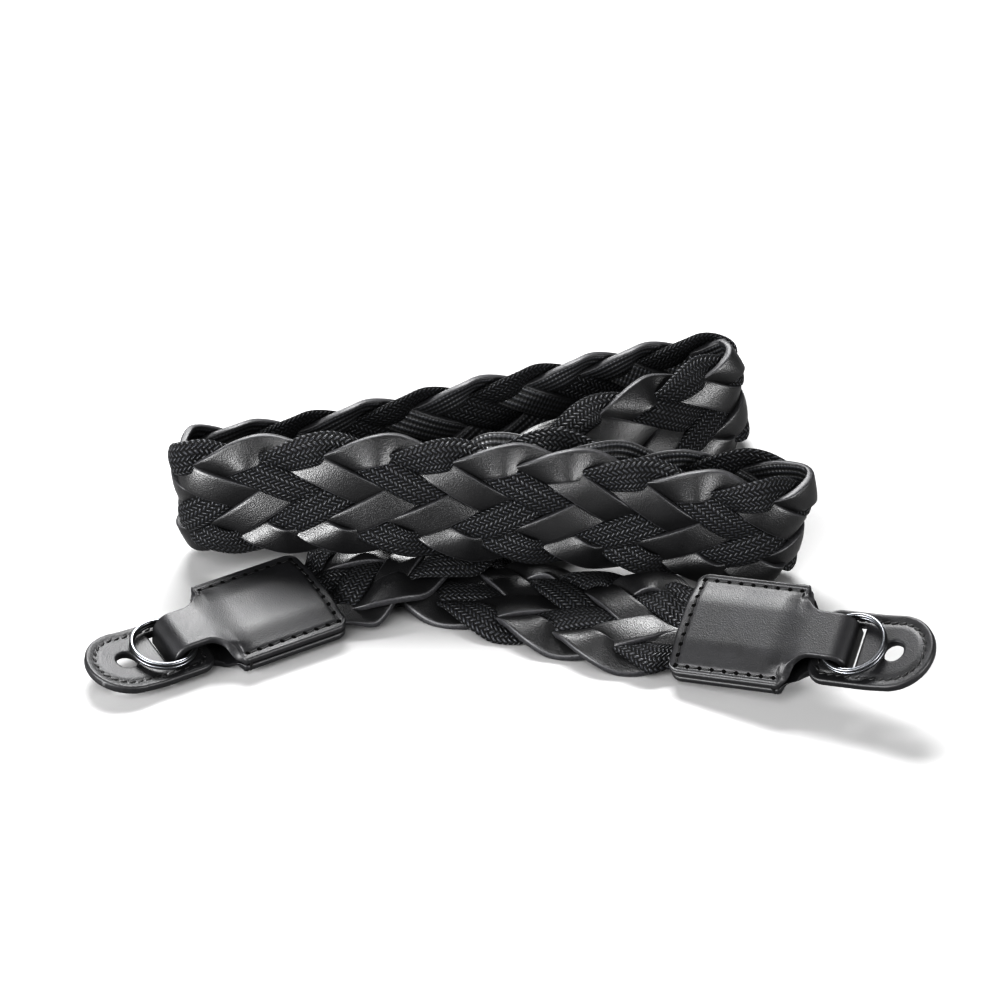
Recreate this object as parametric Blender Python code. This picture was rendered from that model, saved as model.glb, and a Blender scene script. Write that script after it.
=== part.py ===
"""A braided camera strap lying loosely coiled: leather and textile band, two end tabs, rings and lug guards."""

import math

import bmesh
import bpy
import numpy as np
from mathutils import Matrix, Vector

for old in list(bpy.data.objects):
    bpy.data.objects.remove(old, do_unlink=True)

# Braided band
band_width = 0.028
strand_pitch = 0.01405
first_turn = 0.3608
strand_count = 7
leather_strand_thickness = 0.0017
textile_strand_thickness = 0.0019
crossing_gap = 0.0003
edge_scallop = 0.0016
relief_depth = 0.0006
end_compression = 0.5
end_narrowing = 0.76
end_taper = 0.006

# Coil, whose points are shares of its reach and of the band's thickness
coil_reach = 0.100

# End tabs
leather_wall = 0.0018
tab_length = 0.026
tab_width = 0.0262
tab_corner = 0.003
neck_width = 0.0114
neck_start = 0.030
layer_gap = 0.0003
band_insert = 0.0135
neck_ramp = 0.0028
neck_margin = 0.002
neck_spread = 0.003
dome_edge = 0.95
dome_run = 0.33
neck_bends = (0.0024, 0.0011)

# Lug guards
guard_thickness = 0.0020
guard_width = 0.0184
guard_start = 0.0304
guard_end = 0.0577
guard_corner = 0.004
lug_hole_diameter = 0.0047
slot_length = 0.0031
fit_gap = 0.0003
neck_slack = 0.0002

# Split rings
ring_diameter = 0.0150
ring_wire = 0.0010
ring_coils = 2
ring_centre = 0.0396

band_thickness = leather_strand_thickness + textile_strand_thickness + 2 * crossing_gap
neck_gap = guard_thickness + ring_coils * ring_wire + 3 * fit_gap + neck_slack

# Each row: x and y as shares of the reach, lift of the lowest edge as a share of the band's thickness,
# and the compass bearing and rise of the width line in degrees
COLUMNS = ("x", "y", "lift", "bearing", "rise")
COIL = (
    (-0.398, 0.333, 0.15, 121.5, 9.8),
    (-0.308, 0.392, 0.80, 121, 7.5),
    (-0.200, 0.470, 1.19, 121, 4),
    (-0.050, 0.576, 1.26, 121, 6),
    (0.082, 0.664, 1.02, 121, 22),
    (0.240, 0.770, 0.33, 124, 52),
    (0.392, 0.875, 0.05, 128, 70),
    (0.502, 0.960, 0.00, 132, 78),
    (0.560, 1.025, 0.00, 180, 82),
    (0.545, 1.090, 0.00, 200, 86),
    (0.450, 1.085, 0.00, 90, 90),
    (0.200, 0.995, 0.00, 90, 90),
    (-0.100, 0.875, 0.00, 90, 90),
    (-0.400, 0.755, 0.00, 90, 90),
    (-0.610, 0.670, 0.24, 150, 87),
    (-0.706, 0.610, 0.60, 180, 85),
    (-0.703, 0.520, 1.07, 180, 86),
    (-0.592, 0.470, 1.79, 90, 82),
    (-0.350, 0.440, 2.48, 90, 74),
    (-0.100, 0.430, 2.43, 90, 75),
    (0.200, 0.420, 2.05, 90, 79),
    (0.480, 0.400, 0.95, 90, 85),
    (0.628, 0.420, 0.30, 0, 84),
    (0.668, 0.490, 0.00, 0, 78),
    (0.610, 0.540, 0.00, 45, 77),
    (0.440, 0.540, 0.05, 90, 72),
    (0.240, 0.560, 0.67, 90, 52),
    (0.040, 0.575, 2.19, 90, 30),
    (-0.110, 0.586, 2.40, 78, 12),
    (-0.215, 0.600, 2.46, 60, 4),
    (-0.300, 0.633, 2.36, 44, 0),
    (-0.346, 0.671, 1.17, 40, 0),
    (-0.300, 0.630, 0.02, 42, 0),
    (-0.240, 0.555, 0.08, 47, 0),
    (-0.174, 0.460, 0.05, 55, 0),
    (0.023, 0.335, 0.00, 63, 3),
    (0.176, 0.259, 0.00, 66, 9),
    (0.290, 0.208, 0.00, 67, 18),
    (0.404, 0.166, 0.01, 68.7, 25.5),
)
# Direction of travel at the two ends: compass bearing and climb in degrees
ENDS = {"left": (31.5, -0.5), "right": (-25, 8.7)}


def heading(side):
    bearing, climb = (math.radians(angle) for angle in ENDS[side])
    return (math.cos(climb) * math.cos(bearing), math.cos(climb) * math.sin(bearing), math.sin(climb), 0, 0, 0)


def cubic_through(points):
    """Coefficients of the cubic curve through the rows of points, with set directions at its ends."""
    chords = np.linalg.norm(np.diff(points[:, :3], axis=0), axis=1)
    knots = np.concatenate([[0.0], np.cumsum(chords)])
    count = len(points)
    left = np.zeros((count, count))
    right = np.zeros_like(points)
    left[0, :2] = (2 * chords[0], chords[0])
    right[0] = 6 * ((points[1] - points[0]) / chords[0] - np.array(heading("left")))
    left[-1, -2:] = (chords[-1], 2 * chords[-1])
    right[-1] = 6 * (np.array(heading("right")) - (points[-1] - points[-2]) / chords[-1])
    for i in range(1, count - 1):
        before = knots[i] - knots[i - 1]
        after = knots[i + 1] - knots[i]
        left[i, i - 1:i + 2] = (before, 2 * (before + after), after)
        right[i] = 6 * ((points[i + 1] - points[i]) / after - (points[i] - points[i - 1]) / before)
    return knots, np.linalg.solve(left, right)


def cubic_at(points, knots, bends, where):
    """The curve's rows at the knot values in where."""
    index = np.clip(np.searchsorted(knots, where, side="right") - 1, 0, len(knots) - 2)
    span = (knots[index + 1] - knots[index])[:, None]
    back = (knots[index + 1] - where)[:, None] / span
    ahead = (where - knots[index])[:, None] / span
    curve = back * points[index] + ahead * points[index + 1]
    return curve + ((back**3 - back) * bends[index] + (ahead**3 - ahead) * bends[index + 1]) * span**2 / 6


class Route:
    """The band's centre line with its length, width line and face normal."""

    def __init__(self):
        rows = [dict(zip(COLUMNS, row)) for row in COIL]
        points = []
        for row in rows:
            bearing = math.radians(row["bearing"])
            rise = math.radians(row["rise"])
            centre = band_width / 2 * math.sin(rise) + band_thickness / 2 * math.cos(rise)
            height = row["lift"] * band_thickness + centre
            width_line = (math.cos(rise) * math.cos(bearing), math.cos(rise) * math.sin(bearing), math.sin(rise))
            points.append((row["x"] * coil_reach, row["y"] * coil_reach, height) + width_line)
        points = np.array(points)
        knots, bends = cubic_through(points)
        fine = np.linspace(0, knots[-1], 40 * len(rows))
        curve = cubic_at(points, knots, bends, fine)
        self.centre = curve[:, :3]
        self.along = np.gradient(self.centre, axis=0)
        self.along /= np.linalg.norm(self.along, axis=1)[:, None]
        across = curve[:, 3:]
        across = across - (across * self.along).sum(1)[:, None] * self.along
        self.across = across / np.linalg.norm(across, axis=1)[:, None]
        steps = np.linalg.norm(np.diff(self.centre, axis=0), axis=1)
        self.length_to = np.concatenate([[0.0], np.cumsum(steps)])
        self.length = self.length_to[-1]

    def frame(self, distance):
        """Centre, direction, width line and outer normal at a distance along the band, straight past its ends."""
        centre, along, across = (
            Vector([np.interp(distance, self.length_to, column) for column in rows.T])
            for rows in (self.centre, self.along, self.across)
        )
        along.normalize()
        centre += along * (min(distance, 0) + max(distance - self.length, 0))
        across = (across - across.dot(along) * along).normalized()
        return centre, along, across, along.cross(across)

    def stations(self, longest, sharpest):
        """Distances spaced by length on the straights and by turn in the bends."""
        turn = np.arccos(np.clip((self.along[1:] * self.along[:-1]).sum(1), -1, 1))
        cost = np.maximum(np.diff(self.length_to) / longest, turn / sharpest)
        total = np.concatenate([[0.0], np.cumsum(cost)])
        count = int(math.ceil(total[-1]))
        return np.interp(np.linspace(0, total[-1], count + 1), total, self.length_to)


route = Route()


def finish(bm, name, colour, roughness, metallic=0.0):
    """Turn a bmesh into a named object with its own material."""
    bmesh.ops.remove_doubles(bm, verts=bm.verts, dist=1e-7)
    bmesh.ops.triangulate(bm, faces=[face for face in bm.faces if len(face.verts) > 3])
    bmesh.ops.recalc_face_normals(bm, faces=bm.faces)
    mesh = bpy.data.meshes.new(name)
    bm.to_mesh(mesh)
    bm.free()
    material = bpy.data.materials.new(name)
    material.use_nodes = True
    shader = material.node_tree.nodes["Principled BSDF"]
    shader.inputs["Base Color"].default_value = (*colour, 1.0)
    shader.inputs["Roughness"].default_value = roughness
    shader.inputs["Metallic"].default_value = metallic
    mesh.materials.append(material)
    item = bpy.data.objects.new(name, mesh)
    bpy.context.scene.collection.objects.link(item)
    return item


def loft(rings):
    """A closed solid through rings of equal count, with capped ends."""
    bm = bmesh.new()
    loops = [[bm.verts.new(point) for point in ring] for ring in rings]
    count = len(loops[0])
    for near, far in zip(loops, loops[1:]):
        for i in range(count):
            j = (i + 1) % count
            bm.faces.new((near[i], near[j], far[j], far[i]))
    for loop in (loops[0], loops[-1]):
        half = count // 2
        for i in range(half - 1):
            bm.faces.new((loop[i], loop[i + 1], loop[count - 2 - i], loop[count - 1 - i]))
    return bm


# The band's surface. The rows of a seven-strand plait lie between these shares of its half period
row_limits = (0.0, 0.375, 0.75, 1.25, 1.75, 2.25, 2.75, 3.125, 3.5)
half_period = strand_count / 2


def half_width(distance, side):
    """Half the band's width at one edge, where each strand turns over in an arc."""
    phase = (distance - first_turn) / strand_pitch + (0.0 if side > 0 else 0.5)
    return band_width / 2 - edge_scallop * (1 - abs(math.cos(math.pi * phase)))


def relief(distance, row):
    """Share of the relief at one place: low along the lines between neighbouring strands."""
    ascending = row <= 0.75 or 1.75 <= row <= 2.75
    phase = (distance - first_turn) / strand_pitch + (row if ascending else -row)
    return abs(math.sin(math.pi * phase))


def band_section(distance):
    centre, along, across, outward = route.frame(distance)
    depth = max(tab_mouth["left"] - distance, distance - tab_mouth["right"])
    squeeze = 1 - (1 - end_compression) * min(1, max(0, 1 + (depth + fit_gap) / end_taper))
    narrow = 1 - (1 - end_narrowing) * min(1, max(0, 1 + depth / end_taper))
    reach = {side: half_width(distance, side) * narrow for side in (1, -1)}
    front = []
    back = []
    for row in row_limits:
        share = 1 - 2 * row / half_period
        offset = share * reach[1 if share > 0 else -1]
        edge = 1 - abs(share) ** 3
        crown = leather_strand_thickness / 2 + edge * (band_thickness - leather_strand_thickness) / 2
        front_height = crown - relief_depth * relief(distance, row) * edge
        back_height = crown - relief_depth * relief(distance, half_period - row) * edge
        front.append(centre + across * offset + outward * front_height * squeeze)
        back.append(centre + across * offset - outward * back_height * squeeze)
    return front + back[::-1]


def braided_band():
    start = tab_mouth["left"] - band_insert
    end = tab_mouth["right"] + band_insert
    inner = [distance for distance in route.stations(strand_pitch / 4, math.radians(22)) if start < distance < end]
    marks = [tab_mouth["left"] - fit_gap, tab_mouth["left"] - end_taper]
    marks += [tab_mouth["right"] + fit_gap, tab_mouth["right"] + end_taper]
    sections = [band_section(distance) for distance in sorted([start, end] + inner + marks)]
    return finish(loft(sections), "braided_band", (0.018, 0.018, 0.02), 0.6)


# The tabs' inner edges stand at the route's two ends
tab_mouth = {"left": 0.0, "right": route.length}


def end_frame(side):
    """Matrix of an end: X outward along the tab, Y across it, Z out of its upper face."""
    centre, along, across, outward = route.frame(tab_mouth[side])
    away = along if side == "right" else -along
    up = outward
    sideways = up.cross(away)
    return Matrix.Translation(centre) @ Matrix((away, sideways, up)).transposed().to_4x4()


def tab_half_width(reach):
    """Half the tab's width at a distance out from its mouth: rounded corners, notch and neck."""
    if reach < tab_corner:
        drop = tab_corner - reach
        return tab_width / 2 - tab_corner + math.sqrt(max(tab_corner**2 - drop**2, 0))
    if reach <= tab_length:
        return tab_width / 2
    share = min((reach - tab_length) / (neck_start - tab_length), 1)
    return neck_width / 2 + (tab_width - neck_width) / 2 * (1 - share) ** 2


def tab_layer(reach, share, neck_level):
    """Height of a leather layer's middle above the seam: domed over the band, raised over the ring."""
    seam = (layer_gap + leather_wall) / 2
    pocket = band_thickness * end_compression / 2 + fit_gap + leather_wall / 2
    dome = min(1, max(0, (dome_edge - abs(share)) / dome_run))
    level = seam + (pocket - seam) * dome * dome * (3 - 2 * dome)
    neck = min(1, max(0, (reach - tab_length + neck_ramp) / (2 * neck_ramp)))
    middle = min(1, max(0, (tab_width / 2 - neck_margin - abs(share) * tab_half_width(reach)) / neck_spread))
    return level + (neck_level - level) * neck * neck * (3 - 2 * neck) * middle


def end_tab(side):
    fold = ring_centre
    upper = neck_gap / 2 + leather_wall / 2
    reaches = [tab_corner * share for share in (0, 0.3, 1)]
    reaches += [tab_length * share for share in (0.33, 0.56, 0.75, 0.86, 0.92, 0.96, 1)]
    reaches += [tab_length + (neck_start - tab_length) * share for share in (0.3, 0.65, 1)]
    reaches += [(neck_start + ring_centre) / 2 - leather_wall]
    matrix = end_frame(side)
    shares = (-1, -0.95, -0.85, -0.75, -0.62, -0.25, 0.25, 0.62, 0.75, 0.85, 0.95, 1)
    wall_middle = fold - leather_wall / 2
    top_bend, under_bend = neck_bends
    path = [(reach, 1, None) for reach in reaches + [wall_middle - top_bend]]
    for angle in (30, 60, 90):
        bend = math.radians(angle)
        path.append((wall_middle - top_bend * (1 - math.sin(bend)), 1, upper - top_bend * (1 - math.cos(bend))))
    for angle in (90, 45):
        bend = math.radians(angle)
        path.append((wall_middle - under_bend * (1 - math.sin(bend)), 1, under_bend * (1 - math.cos(bend)) - upper))
    path += [(reach, -1, None) for reach in [wall_middle - under_bend] + reaches[::-1]]
    middles = []
    for reach, layer, level in path:
        half = tab_half_width(reach)
        line = []
        for share in shares:
            height = level if level is not None else layer * tab_layer(reach, share, upper)
            line.append(Vector((reach, share * half, height)))
        middles.append(line)
    rings = []
    for i, line in enumerate(middles):
        before = middles[max(i - 1, 0)]
        after = middles[min(i + 1, len(middles) - 1)]
        outer = []
        inner = []
        for j, point in enumerate(line):
            along = (after[j] - before[j]).normalized()
            normal = Vector((-along.z, 0, along.x))
            outer.append(point + normal * leather_wall / 2)
            inner.append(point - normal * leather_wall / 2)
        rings.append(outer + inner[::-1])
    bm = loft(rings)
    bmesh.ops.transform(bm, matrix=matrix, verts=bm.verts)
    return finish(bm, side + "_tab", (0.03, 0.03, 0.032), 0.45)


def guard_level():
    """Height of the guard's middle, low enough for the ring to lie on it inside the neck."""
    return -neck_gap / 2 + fit_gap + guard_thickness / 2


def guard_outline():
    half = guard_width / 2
    centre = guard_end - half
    points = []
    for step in range(13):
        angle = math.radians(-90 + 15 * step)
        points.append((centre + half * math.cos(angle), half * math.sin(angle)))
    for step in range(4):
        angle = math.radians(90 + 30 * step)
        corner = guard_start + guard_corner, half - guard_corner
        points.append((corner[0] + guard_corner * math.cos(angle), corner[1] + guard_corner * math.sin(angle)))
    for step in range(4):
        angle = math.radians(180 + 30 * step)
        corner = guard_start + guard_corner, guard_corner - half
        points.append((corner[0] + guard_corner * math.cos(angle), corner[1] + guard_corner * math.sin(angle)))
    return points


def hole_outline():
    centre = guard_end - guard_width / 2
    radius = lug_hole_diameter / 2
    angles = [2 * math.pi * step / 16 for step in range(16)]
    return [(centre + radius * math.cos(angle), radius * math.sin(angle)) for angle in angles]


def slot_outline():
    start = ring_centre - leather_wall - fit_gap
    half = neck_width / 2 + fit_gap
    return [(start, -half), (start + slot_length, -half), (start + slot_length, half), (start, half)]


def plate(outlines, thickness):
    """A flat plate between an outer outline and the outlines of its holes."""
    bm = bmesh.new()
    edges = []
    for outline in outlines:
        loop = [bm.verts.new((x, y, -thickness / 2)) for x, y in outline]
        edges += [bm.edges.new((loop[i], loop[(i + 1) % len(loop)])) for i in range(len(loop))]
    bmesh.ops.triangle_fill(bm, use_beauty=True, edges=edges)
    faces = list(bm.faces)
    raised = bmesh.ops.extrude_face_region(bm, geom=faces, use_keep_orig=True)
    verts = [item for item in raised["geom"] if isinstance(item, bmesh.types.BMVert)]
    bmesh.ops.translate(bm, vec=(0, 0, thickness), verts=verts)
    return bm


def lug_guard(side):
    bm = plate([guard_outline(), hole_outline(), slot_outline()], guard_thickness)
    for share in (0, 0.5, 1):
        cut = guard_bend_start + guard_bend_length * share
        geometry = list(bm.verts) + list(bm.edges) + list(bm.faces)
        bmesh.ops.bisect_plane(bm, geom=geometry, plane_co=(cut, 0, 0), plane_no=(1, 0, 0))
    droop = math.radians(guard_droop[side])
    for vert in bm.verts:
        past = vert.co.x - guard_bend_start
        curved = min(max(past, 0), guard_bend_length)
        angle = droop * curved / guard_bend_length
        straight = max(past - guard_bend_length, 0)
        vert.co.x += vert.co.z * math.sin(angle)
        vert.co.z = vert.co.z * math.cos(angle) - curved * math.sin(angle / 2) - straight * math.sin(droop)
        vert.co.z += guard_level()
    bmesh.ops.transform(bm, matrix=end_frame(side), verts=bm.verts)
    return finish(bm, side + "_guard", (0.03, 0.03, 0.032), 0.5)


guard_bend_start = ring_centre + 0.0022
guard_bend_length = 0.004
guard_droop = {"left": -7.0, "right": -7.0}
ring_droop = {"left": -1.8, "right": -1.8}


def ring_pose(side):
    """The ring leans on the drooping guard, turned about its wire inside the neck."""
    hinge = Vector((ring_centre - ring_diameter / 2, 0, guard_level() + guard_thickness / 2 + fit_gap))
    turn = Matrix.Rotation(math.radians(ring_droop[side]), 4, "Y")
    return Matrix.Translation(hinge) @ turn @ Matrix.Translation((ring_diameter / 2, 0, 0))


def split_ring(side):
    """A ring of two flat coils of wire, as one closed body."""
    middle = (ring_diameter - ring_wire) / 2
    tall = ring_wire * ring_coils / 2
    wide = ring_wire / 2
    bm = bmesh.new()
    loops = []
    for step in range(16):
        angle = 2 * math.pi * step / 16
        outward = Vector((math.cos(angle), math.sin(angle), 0))
        corners = ((wide, 0.5), (wide, -0.5), (0, -1), (-wide, -0.5), (-wide, 0.5), (0, 1))
        loop = []
        for out, height in corners:
            loop.append(bm.verts.new(outward * (middle + out) + Vector((0, 0, tall + height * tall))))
        loops.append(loop)
    for near, far in zip(loops, loops[1:] + loops[:1]):
        for i in range(6):
            j = (i + 1) % 6
            bm.faces.new((near[i], near[j], far[j], far[i]))
    bmesh.ops.transform(bm, matrix=end_frame(side) @ ring_pose(side), verts=bm.verts)
    return finish(bm, side + "_ring", (0.55, 0.55, 0.56), 0.3, 1.0)


def main():
    pieces = [braided_band()]
    for side in ("left", "right"):
        pieces += [end_tab(side), lug_guard(side), split_ring(side)]
    corners = [vert.co for piece in pieces for vert in piece.data.vertices]
    low = Vector([min(corner[i] for corner in corners) for i in range(3)])
    high = Vector([max(corner[i] for corner in corners) for i in range(3)])
    base = Vector(((low.x + high.x) / 2, (low.y + high.y) / 2, low.z))
    for piece in pieces:
        piece.data.transform(Matrix.Translation(-base))


main()
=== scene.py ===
import math

import bmesh
import bpy
import numpy as np
from mathutils import Matrix, Vector


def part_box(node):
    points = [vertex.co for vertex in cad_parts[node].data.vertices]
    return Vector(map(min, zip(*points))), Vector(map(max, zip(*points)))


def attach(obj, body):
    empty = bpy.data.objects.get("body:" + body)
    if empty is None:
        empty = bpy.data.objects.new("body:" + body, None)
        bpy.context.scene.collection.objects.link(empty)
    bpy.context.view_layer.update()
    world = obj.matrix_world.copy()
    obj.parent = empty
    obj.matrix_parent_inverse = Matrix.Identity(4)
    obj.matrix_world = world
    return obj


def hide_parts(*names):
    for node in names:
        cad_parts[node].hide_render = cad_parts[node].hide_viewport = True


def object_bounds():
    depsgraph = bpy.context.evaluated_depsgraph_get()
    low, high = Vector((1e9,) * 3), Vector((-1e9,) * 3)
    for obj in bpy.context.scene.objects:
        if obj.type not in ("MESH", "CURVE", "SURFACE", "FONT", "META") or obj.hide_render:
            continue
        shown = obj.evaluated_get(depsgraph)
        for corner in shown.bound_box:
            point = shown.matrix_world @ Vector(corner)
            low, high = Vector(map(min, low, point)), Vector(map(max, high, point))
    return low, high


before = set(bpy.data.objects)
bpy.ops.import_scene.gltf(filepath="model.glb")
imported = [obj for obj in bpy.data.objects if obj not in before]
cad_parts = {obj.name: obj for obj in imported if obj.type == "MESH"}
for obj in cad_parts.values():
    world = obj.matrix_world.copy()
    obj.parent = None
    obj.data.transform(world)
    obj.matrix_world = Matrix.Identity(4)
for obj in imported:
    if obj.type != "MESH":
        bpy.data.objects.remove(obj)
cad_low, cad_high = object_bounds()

MM = 0.001

# The band's route, point for point as in the part's source

band_width = 0.028
band_thickness = 0.0042
coil_reach = 0.100

COLUMNS = ("x", "y", "lift", "bearing", "rise")
COIL = (
    (-0.398, 0.333, 0.15, 121.5, 9.8),
    (-0.308, 0.392, 0.80, 121, 7.5),
    (-0.200, 0.470, 1.19, 121, 4),
    (-0.050, 0.576, 1.26, 121, 6),
    (0.082, 0.664, 1.02, 121, 22),
    (0.240, 0.770, 0.33, 124, 52),
    (0.392, 0.875, 0.05, 128, 70),
    (0.502, 0.960, 0.00, 132, 78),
    (0.560, 1.025, 0.00, 180, 82),
    (0.545, 1.090, 0.00, 200, 86),
    (0.450, 1.085, 0.00, 90, 90),
    (0.200, 0.995, 0.00, 90, 90),
    (-0.100, 0.875, 0.00, 90, 90),
    (-0.400, 0.755, 0.00, 90, 90),
    (-0.610, 0.670, 0.24, 150, 87),
    (-0.706, 0.610, 0.60, 180, 85),
    (-0.703, 0.520, 1.07, 180, 86),
    (-0.592, 0.470, 1.79, 90, 82),
    (-0.350, 0.440, 2.48, 90, 74),
    (-0.100, 0.430, 2.43, 90, 75),
    (0.200, 0.420, 2.05, 90, 79),
    (0.480, 0.400, 0.95, 90, 85),
    (0.628, 0.420, 0.30, 0, 84),
    (0.668, 0.490, 0.00, 0, 78),
    (0.610, 0.540, 0.00, 45, 77),
    (0.440, 0.540, 0.05, 90, 72),
    (0.240, 0.560, 0.67, 90, 52),
    (0.040, 0.575, 2.19, 90, 30),
    (-0.110, 0.586, 2.40, 78, 12),
    (-0.215, 0.600, 2.46, 60, 4),
    (-0.300, 0.633, 2.36, 44, 0),
    (-0.346, 0.671, 1.17, 40, 0),
    (-0.300, 0.630, 0.02, 42, 0),
    (-0.240, 0.555, 0.08, 47, 0),
    (-0.174, 0.460, 0.05, 55, 0),
    (0.023, 0.335, 0.00, 63, 3),
    (0.176, 0.259, 0.00, 66, 9),
    (0.290, 0.208, 0.00, 67, 18),
    (0.404, 0.166, 0.01, 68.7, 25.5),
)
ENDS = {"left": (31.5, -0.5), "right": (-25, 8.7)}


def heading(side):
    bearing, climb = (math.radians(angle) for angle in ENDS[side])
    flat = math.cos(climb)
    return (flat * math.cos(bearing), flat * math.sin(bearing), math.sin(climb), 0, 0, 0)


def cubic_through(points):
    """Coefficients of the cubic curve through the rows of points, with set directions at its ends."""
    chords = np.linalg.norm(np.diff(points[:, :3], axis=0), axis=1)
    knots = np.concatenate([[0.0], np.cumsum(chords)])
    count = len(points)
    left = np.zeros((count, count))
    right = np.zeros_like(points)
    left[0, :2] = (2 * chords[0], chords[0])
    right[0] = 6 * ((points[1] - points[0]) / chords[0] - np.array(heading("left")))
    left[-1, -2:] = (chords[-1], 2 * chords[-1])
    right[-1] = 6 * (np.array(heading("right")) - (points[-1] - points[-2]) / chords[-1])
    for i in range(1, count - 1):
        before = knots[i] - knots[i - 1]
        after = knots[i + 1] - knots[i]
        left[i, i - 1:i + 2] = (before, 2 * (before + after), after)
        right[i] = 6 * ((points[i + 1] - points[i]) / after - (points[i] - points[i - 1]) / before)
    return knots, np.linalg.solve(left, right)


def cubic_at(points, knots, bends, where):
    index = np.clip(np.searchsorted(knots, where, side="right") - 1, 0, len(knots) - 2)
    span = (knots[index + 1] - knots[index])[:, None]
    back = (knots[index + 1] - where)[:, None] / span
    ahead = (where - knots[index])[:, None] / span
    curve = back * points[index] + ahead * points[index + 1]
    return curve + ((back**3 - back) * bends[index] + (ahead**3 - ahead) * bends[index + 1]) * span**2 / 6


def unit(rows):
    return rows / np.linalg.norm(rows, axis=-1, keepdims=True)


class Route:
    """The band's centre line with its length, width line and face normal."""

    def __init__(self):
        points = []
        for row in (dict(zip(COLUMNS, row)) for row in COIL):
            bearing = math.radians(row["bearing"])
            rise = math.radians(row["rise"])
            centre = band_width / 2 * math.sin(rise) + band_thickness / 2 * math.cos(rise)
            height = row["lift"] * band_thickness + centre
            flat = math.cos(rise)
            width_line = (flat * math.cos(bearing), flat * math.sin(bearing), math.sin(rise))
            points.append((row["x"] * coil_reach, row["y"] * coil_reach, height) + width_line)
        points = np.array(points)
        knots, bends = cubic_through(points)
        curve = cubic_at(points, knots, bends, np.linspace(0, knots[-1], 40 * len(COIL)))
        self.centre = curve[:, :3]
        self.along = unit(np.gradient(self.centre, axis=0))
        across = curve[:, 3:]
        self.across = unit(across - (across * self.along).sum(1)[:, None] * self.along)
        steps = np.linalg.norm(np.diff(self.centre, axis=0), axis=1)
        self.length_to = np.concatenate([[0.0], np.cumsum(steps)])
        self.length = self.length_to[-1]

    def frames(self, distance):
        """Centres, directions, width lines and outer normals at many distances, straight past the ends."""
        inside = np.clip(distance, 0, self.length)
        centre, along, across = (
            np.stack([np.interp(inside, self.length_to, column) for column in rows.T], axis=-1)
            for rows in (self.centre, self.along, self.across)
        )
        along = unit(along)
        centre = centre + along * (distance - inside)[..., None]
        across = unit(across - (across * along).sum(-1)[..., None] * along)
        return centre, along, across, np.cross(along, across)


route = Route()

# The ends: the part's sizes, with a softer dome, ramp and neck bend and a longer slot

leather_wall = 0.0018
tab_length = 0.026
tab_width = 0.0262
tab_corner = 0.003
neck_width = 0.0114
neck_start = 0.0322
layer_gap = 0.0003
band_insert = 0.0135
neck_ramp = 0.0044
neck_margin = 0.002
neck_spread = 0.003
dome_edge = 0.95
dome_spread = 0.62
neck_bends = (0.0031, 0.0011)
end_compression = 0.5
end_narrowing = 0.76
end_taper = 0.006
fit_gap = 0.0003
neck_slack = 0.0002

guard_thickness = 0.0020
guard_width = 0.0184
guard_start = 0.0304
guard_end = 0.0577
guard_corner = 0.004
lug_hole_diameter = 0.0047
slot_length = 0.0033

ring_diameter = 0.0150
ring_wire = 0.0010
ring_coils = 2
ring_centre = 0.0396
ring_droop = -1.8

guard_bend_start = ring_centre + 0.0022
guard_bend_length = 0.004
guard_droop = {"left": -7.0, "right": -7.0}
neck_gap = guard_thickness + ring_coils * ring_wire + 3 * fit_gap + neck_slack
guard_level = -neck_gap / 2 + fit_gap + guard_thickness / 2


def end_frame(side):
    """Matrix of an end: X outward along the tab, Y across it, Z out of its upper face."""
    distance = np.array([0.0 if side == "left" else route.length])
    centre, along, across, outward = (Vector(rows[0]) for rows in route.frames(distance))
    away = along if side == "right" else -along
    return Matrix.Translation(centre) @ Matrix((away, outward.cross(away), outward)).transposed().to_4x4()


def ring_pose():
    hinge = Vector((ring_centre - ring_diameter / 2, 0, guard_level + guard_thickness / 2 + fit_gap))
    turn = Matrix.Rotation(math.radians(ring_droop), 4, "Y")
    return Matrix.Translation(hinge) @ turn @ Matrix.Translation((ring_diameter / 2, 0, 0))


def recentring():
    """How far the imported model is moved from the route's own place, read off the left ring."""
    middle = (ring_diameter - ring_wire) / 2
    corners = []
    for step in range(16):
        angle = 2 * math.pi * step / 16
        outward = Vector((math.cos(angle), math.sin(angle), 0))
        for out, height in ((0.5, 0.5), (0.5, -0.5), (0, -1), (-0.5, -0.5), (-0.5, 0.5), (0, 1)):
            corner = outward * (middle + out * ring_wire) + Vector((0, 0, ring_wire * (1 + height)))
            corners.append(end_frame("left") @ ring_pose() @ corner)
    low = Vector([min(corner[i] for corner in corners) for i in range(3)])
    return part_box("left_ring")[0] - low


place = recentring()

# Materials


def colour(text):
    """An sRGB hex value as linear red, green, blue and alpha."""
    values = [int(text[i:i + 2], 16) / 255 for i in (1, 3, 5)]
    return [v / 12.92 if v <= 0.04045 else ((v + 0.055) / 1.055) ** 2.4 for v in values] + [1.0]


def add(tree, kind, inputs=(), stops=(), **settings):
    """A new node's outputs: an input is a value or the socket that feeds it, stops are (position, hex)."""
    node = tree.nodes.new(kind)
    for name, value in settings.items():
        setattr(node, name, value)
    for name, value in dict(inputs).items():
        if isinstance(value, bpy.types.NodeSocket):
            tree.links.new(value, node.inputs[name])
        else:
            node.inputs[name].default_value = value
    for i, (position, text) in enumerate(stops):
        element = node.color_ramp.elements[i] if i < 2 else node.color_ramp.elements.new(position)
        element.position = position
        element.color = colour(text)
    return node.outputs


def new_material(name, **sockets):
    """A material whose sockets hold the given values; its tree is filled in afterwards."""
    material = bpy.data.materials.new(name)
    material.use_nodes = True
    tree = material.node_tree
    shader = tree.nodes["Principled BSDF"]
    for socket, value in sockets.items():
        shader.inputs[socket.replace("_", " ")].default_value = value
    return material, tree, shader


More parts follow.
